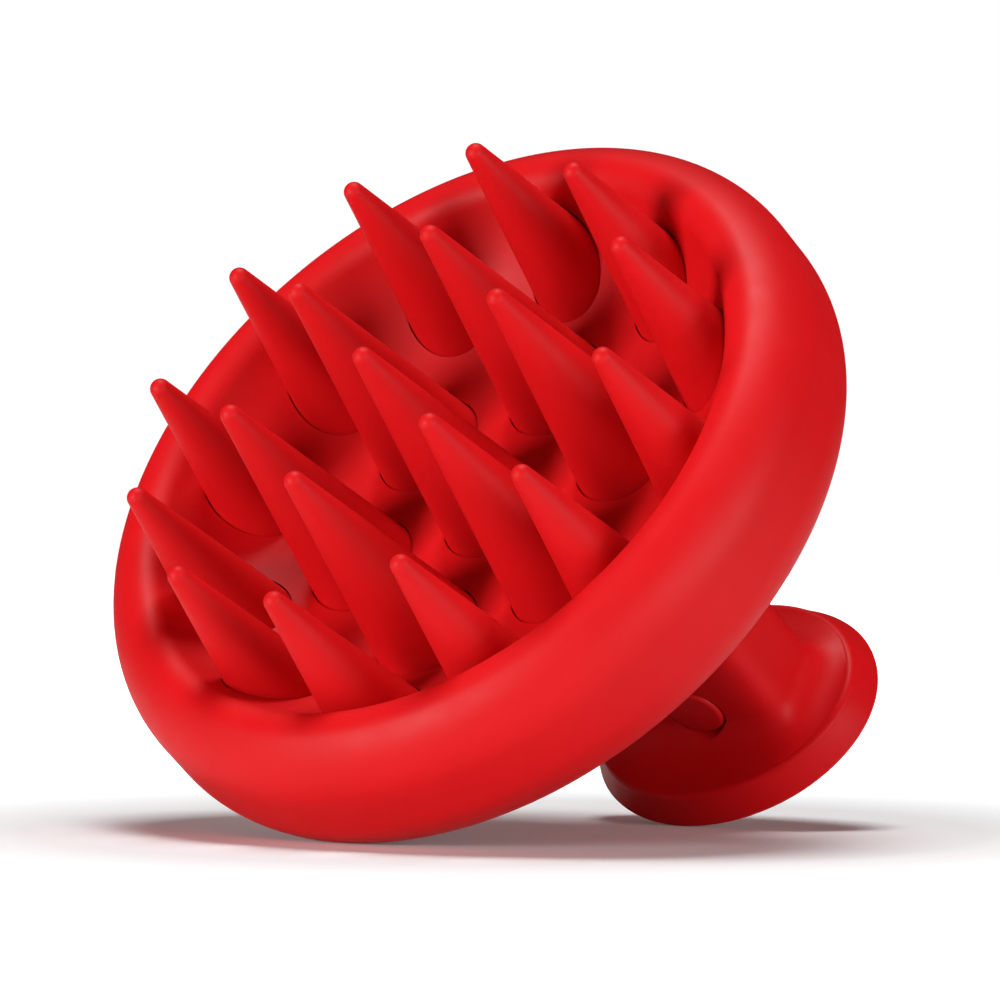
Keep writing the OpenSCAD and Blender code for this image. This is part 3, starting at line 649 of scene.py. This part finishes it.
def make_lead(name, points, node, material, sides=20):
    """A round lead along a path of straight runs with rounded corners."""
    path = rounded_path(points, LEAD_BEND)
    rows = []
    across = None
    for i, p in enumerate(path):
        way = (path[min(i + 1, len(path) - 1)] - path[max(i - 1, 0)]).normalized()
        if across is None:
            across = way.orthogonal().normalized()
        across = (across - way * across.dot(way)).normalized()
        up = way.cross(across)
        rows.append([p + (across * math.cos(2 * math.pi * k / sides)
                          + up * math.sin(2 * math.pi * k / sides)) * LEAD_R
                     for k in range(sides)])
    points_out = [q for row in rows for q in row]
    faces = [[r * sides + k, r * sides + (k + 1) % sides,
              (r + 1) * sides + (k + 1) % sides, (r + 1) * sides + k]
             for r in range(len(rows) - 1) for k in range(sides)]
    faces.append(list(range(sides)))
    faces.append([(len(rows) - 1) * sides + k for k in range(sides)])
    lead = new_object(name, points_out, faces, material)
    smooth(lead, 60)
    finish_piece(lead, "massager", [node])


def make_leads():
    """A red and a black lead each from the cell and the motor, and two from the contacts."""
    battery_side, charge_side, motor_side = 4, 2.6, 1.4
    rise = 1.0
    half_t = BOARD_T / 2
    charge_y, charge_mid_z = -0.6, 5.3
    motor_out, motor_down, motor_pair = 1.8, 1.4, 0.7
    for side, tag in ((-1, "a"), (1, "b")):
        tint = lead_red if side > 0 else seal
        x = GRIP_X + side * battery_side
        top = CELL_TOP_Z + rise
        make_lead("battery_lead_" + tag, [
            (x, CELL_Y, CELL_TOP_Z), (x, CELL_Y, top), (x, BOARD_Y + half_t, top),
            (x, BOARD_Y + half_t, BOARD_TOP_Z)], "battery_leads", tint)
        x = GRIP_X + side * charge_side
        make_lead("charge_lead_" + tag, [
            (x, charge_y, PIN_TOP_Z), (x, charge_y, charge_mid_z), (x, charge_y, BOARD_Z)],
            "charge_leads", seal)
        start_x, end_x = MOTOR_X + side * motor_side, GRIP_X + side * motor_side
        out_y = MOTOR_END_Y - motor_out + side * motor_pair
        level = MOTOR_Z - motor_down + side * motor_pair
        make_lead("motor_lead_" + tag, [
            (start_x, MOTOR_END_Y, MOTOR_Z), (start_x, out_y, MOTOR_Z), (start_x, out_y, level),
            (end_x, out_y, level), (end_x, BOARD_Y - BOARD_T, level),
            (end_x, BOARD_Y - BOARD_T, BOARD_TOP_Z)], "motor_leads", tint)


# ---- Floor and light ----

# The object leans on its rim and on the edge of its grip, so the floor is a
# tilted plane that touches both.
FLOOR_UP = Vector((0.07852, 0.78146, 0.61900)).normalized()
FLOOR_DROP = 0.01016
FLOOR_RADIUS = 0.75
FLOOR_COLOUR = (0.87, 0.9, 0.9)
# The camera sees the floor's own shade near the object and plain white further away.
FLOOR_LIFT = 0.04
FADE_START = 0.05
FADE_END = 0.13
OBJECT_MIDDLE = Vector((0, 0, 0.035))

WORLD_LIGHT = 0.02
LAMP_DISTANCE = 1.0
LAMP_SIZE = 0.4
# Each lamp's direction from the object, as right, down and forward in the view, and its power.
LAMPS = [
    ("top_lamp", (0, -0.999, 0.04), 7.6),
    ("left_lamp", (-0.8, -0.05, -0.6), 10.8),
    ("right_lamp", (0.8, -0.05, -0.6), 4.9),
    ("front_lamp", (0.45, 0.0, -0.9), 3.1),
]


def aim(direction):
    """Turn that points an object's -Z along a direction."""
    return Vector(direction).to_track_quat("-Z", "Y").to_matrix().to_4x4()


def make_floor():
    """A matt pale disc under the object, which carries its shadow."""
    bm = bmesh.new()
    bmesh.ops.create_circle(bm, cap_ends=True, segments=96, radius=FLOOR_RADIUS)
    mesh = bpy.data.meshes.new("floor")
    bm.to_mesh(mesh)
    bm.free()
    floor = bpy.data.objects.new("floor", mesh)
    turn = FLOOR_UP.to_track_quat("Z", "Y").to_matrix().to_4x4()
    height = OBJECT_MIDDLE.dot(FLOOR_UP) + FLOOR_DROP
    floor.matrix_world = Matrix.Translation(OBJECT_MIDDLE - FLOOR_UP * height) @ turn
    bpy.context.collection.objects.link(floor)
    material, tree, shader = new_material("floor")
    shader.inputs["Base Color"].default_value = (*FLOOR_COLOUR, 1)
    shader.inputs["Roughness"].default_value = 0.9
    shader.inputs["Specular IOR Level"].default_value = 0.05
    coords = tree.nodes.new("ShaderNodeTexCoord")
    away = tree.nodes.new("ShaderNodeVectorMath")
    away.operation = "LENGTH"
    tree.links.new(coords.outputs["Object"], away.inputs[0])
    fade = tree.nodes.new("ShaderNodeMapRange")
    fade.inputs["From Min"].default_value = FADE_START
    fade.inputs["From Max"].default_value = FADE_END
    fade.inputs["To Min"].default_value = FLOOR_LIFT
    fade.inputs["To Max"].default_value = 1.0
    tree.links.new(away.outputs["Value"], fade.inputs["Value"])
    path = tree.nodes.new("ShaderNodeLightPath")
    lift = tree.nodes.new("ShaderNodeMath")
    lift.operation = "MULTIPLY"
    tree.links.new(path.outputs["Is Camera Ray"], lift.inputs[0])
    tree.links.new(fade.outputs["Result"], lift.inputs[1])
    shader.inputs["Emission Color"].default_value = (1, 1, 1, 1)
    tree.links.new(lift.outputs[0], shader.inputs["Emission Strength"])
    # The floor's underside is clear, so it hides nothing in a view from below.
    side = tree.nodes.new("ShaderNodeNewGeometry")
    clear = tree.nodes.new("ShaderNodeBsdfTransparent")
    choice = tree.nodes.new("ShaderNodeMixShader")
    tree.links.new(side.outputs["Backfacing"], choice.inputs["Fac"])
    tree.links.new(shader.outputs["BSDF"], choice.inputs[1])
    tree.links.new(clear.outputs["BSDF"], choice.inputs[2])
    tree.links.new(choice.outputs["Shader"], tree.nodes["Material Output"].inputs["Surface"])
    mesh.materials.append(material)


def make_world():
    """Weak even light, in front of a white background."""
    world = bpy.data.worlds.new("world")
    bpy.context.scene.world = world
    world.use_nodes = True
    tree = world.node_tree
    back = tree.nodes["Background"]
    back.inputs["Color"].default_value = (1, 1, 1, 1)
    path = tree.nodes.new("ShaderNodeLightPath")
    seen = tree.nodes.new("ShaderNodeMath")
    seen.operation = "MAXIMUM"
    tree.links.new(path.outputs["Is Camera Ray"], seen.inputs[0])
    tree.links.new(path.outputs["Is Transmission Ray"], seen.inputs[1])
    strength = tree.nodes.new("ShaderNodeMapRange")
    strength.inputs["To Min"].default_value = WORLD_LIGHT
    strength.inputs["To Max"].default_value = 1.0
    tree.links.new(seen.outputs[0], strength.inputs["Value"])
    tree.links.new(strength.outputs["Result"], back.inputs["Strength"])


def add_lamp(name, toward, power):
    """A square soft lamp; toward is its direction in the view's own axes."""
    right, down, forward = toward
    way = (VIEW_RIGHT * right + VIEW_DOWN * down + VIEW_FORWARD * forward).normalized()
    data = bpy.data.lights.new(name, "AREA")
    data.size = LAMP_SIZE
    data.energy = power
    lamp = bpy.data.objects.new(name, data)
    lamp.matrix_world = Matrix.Translation(OBJECT_MIDDLE + way * LAMP_DISTANCE) @ aim(-way)
    bpy.context.collection.objects.link(lamp)


def make_lights():
    for lamp in LAMPS:
        add_lamp(*lamp)


make_camera()
dress_nodes()
make_cup()
make_fingers()
make_handle()
make_button()
make_end_seal()
make_pad()
make_leads()
make_floor()
make_world()
make_lights()
bpy.context.scene.view_settings.view_transform = "Standard"
